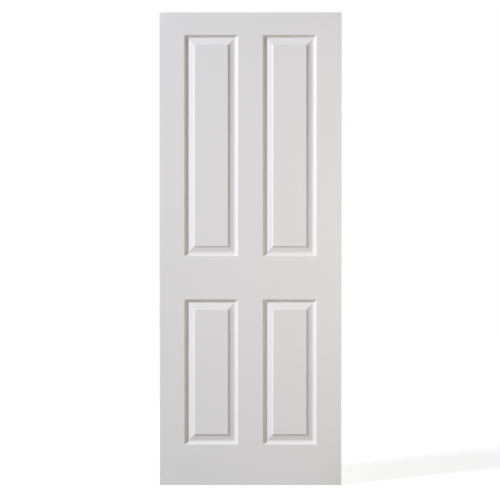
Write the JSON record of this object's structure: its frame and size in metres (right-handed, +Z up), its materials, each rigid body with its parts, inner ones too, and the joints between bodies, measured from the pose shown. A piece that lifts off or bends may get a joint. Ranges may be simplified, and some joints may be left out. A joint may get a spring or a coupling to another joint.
{
  "type": "interior door leaf",
  "caption": "Interior door leaf with moulded raised panels on both faces, flush edges, a softwood frame and a hollow paper honeycomb core.",
  "frame": {"origin": "centre of the bottom edge, at mid-thickness", "axes": "+Z up the leaf, -Y out of the front face, +X to the right as the front face is seen"},
  "size_m": [0.762, 0.035, 1.981],
  "materials": {
    "painted_fibreboard": "matte",
    "softwood": "matte",
    "kraft_paper": "matte",
    "staple_steel": "satin"
  },
  "bodies": {
    "root": {"front_skin": "painted_fibreboard", "rear_skin": "painted_fibreboard", "left_stile": "softwood", "right_stile": "softwood", "top_rail": "softwood", "bottom_rail": "softwood", "left_lock_block": "softwood", "right_lock_block": "softwood", "honeycomb_core": "kraft_paper", "corner_staples": "staple_steel"}
  },
  "joints": []
}
